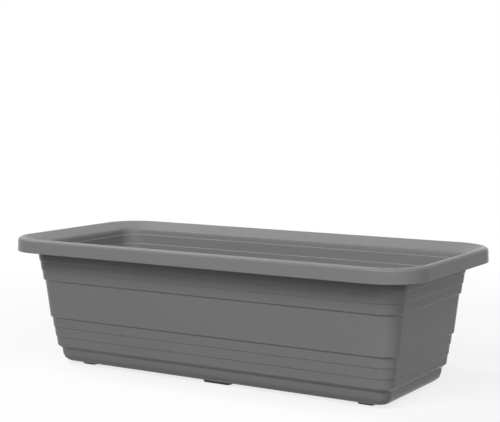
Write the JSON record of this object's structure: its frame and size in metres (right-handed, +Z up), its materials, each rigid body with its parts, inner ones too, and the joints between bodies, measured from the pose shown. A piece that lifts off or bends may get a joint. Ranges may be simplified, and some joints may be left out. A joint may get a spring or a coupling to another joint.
{
  "type": "trough planter",
  "caption": "Long floor trough planter with a wide turned-down rim, stepped tapering walls and low feet, with lift-out drainage grids over push-in drain plugs.",
  "frame": {"origin": "centre of the trough in plan, on the ground under its feet", "axes": "+X along the trough, +Y to the back as seen in the picture, +Z up"},
  "size_m": [0.6, 0.279, 0.1765],
  "materials": {
    "trough_plastic": "satin, fine moulded grain",
    "grid_plastic": "matte",
    "plug_rubber": "matte"
  },
  "bodies": {
    "trough": {"trough_body": "trough_plastic"},
    "grid_left": {"drainage_grid_left": "grid_plastic"},
    "grid_right": {"drainage_grid_right": "grid_plastic"},
    "plug_1": {"drain_plug_1": "plug_rubber"},
    "plug_2": {"drain_plug_2": "plug_rubber"},
    "plug_3": {"drain_plug_3": "plug_rubber"},
    "plug_4": {"drain_plug_4": "plug_rubber"},
    "plug_5": {"drain_plug_5": "plug_rubber"},
    "plug_6": {"drain_plug_6": "plug_rubber"}
  },
  "joints": [
    {"name": "grid_left_lift", "type": "slide", "parent": "trough", "child": "grid_left", "axis": [0, 0, 1], "range_m": [0, 0.175]},
    {"name": "grid_right_lift", "type": "slide", "parent": "trough", "child": "grid_right", "axis": [0, 0, 1], "range_m": [0, 0.175]},
    {"name": "plug_1_pull", "type": "slide", "parent": "trough", "child": "plug_1", "axis": [0, 0, 1], "range_m": [0, 0.008]},
    {"name": "plug_2_pull", "type": "slide", "parent": "trough", "child": "plug_2", "axis": [0, 0, 1], "range_m": [0, 0.008]},
    {"name": "plug_3_pull", "type": "slide", "parent": "trough", "child": "plug_3", "axis": [0, 0, 1], "range_m": [0, 0.008]},
    {"name": "plug_4_pull", "type": "slide", "parent": "trough", "child": "plug_4", "axis": [0, 0, 1], "range_m": [0, 0.008]},
    {"name": "plug_5_pull", "type": "slide", "parent": "trough", "child": "plug_5", "axis": [0, 0, 1], "range_m": [0, 0.008]},
    {"name": "plug_6_pull", "type": "slide", "parent": "trough", "child": "plug_6", "axis": [0, 0, 1], "range_m": [0, 0.008]}
  ]
}
